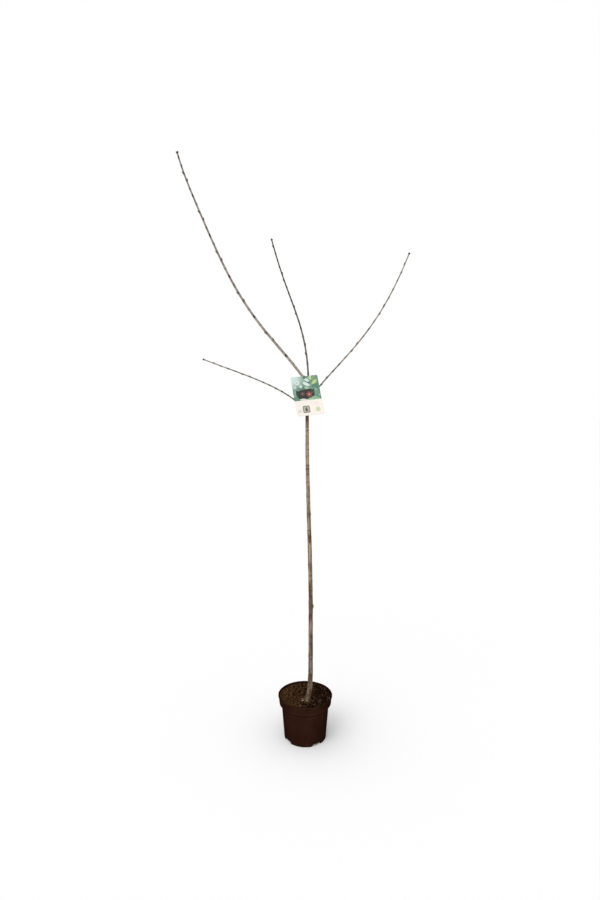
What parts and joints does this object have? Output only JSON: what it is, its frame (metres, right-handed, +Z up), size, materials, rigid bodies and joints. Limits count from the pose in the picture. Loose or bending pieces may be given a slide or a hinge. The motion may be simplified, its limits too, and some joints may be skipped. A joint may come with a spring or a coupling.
{
  "type": "potted cherry tree",
  "caption": "Young leafless cherry tree with a slender stem and long budded whips, rooted in a filled round nursery pot that it stands on, with a blank hang card at its fork.",
  "frame": {"origin": "middle of the pot's flat underside", "axes": "+Z up along the stem, +X to the right in the picture, -Y towards its camera"},
  "size_m": [0.863, 0.6081, 2.2979],
  "materials": {
    "bark": "dry grey-brown bark with lenticels",
    "twig": "smooth young bark with dark pointed buds",
    "pot_plastic": "dark brown moulded plastic, slightly dusty",
    "soil": "dark damp potting compost with fibres and bark bits",
    "card": "glossy printed plastic card, green over pale",
    "strap": "soft green plastic strip"
  },
  "bodies": {
    "root": {"trunk": "bark", "bough_left_long": "twig", "bough_centre": "twig", "bough_right": "twig", "bough_left_low": "twig", "pot": "pot_plastic", "soil": "soil", "label": "card", "label_strap": "strap"}
  },
  "joints": []
}
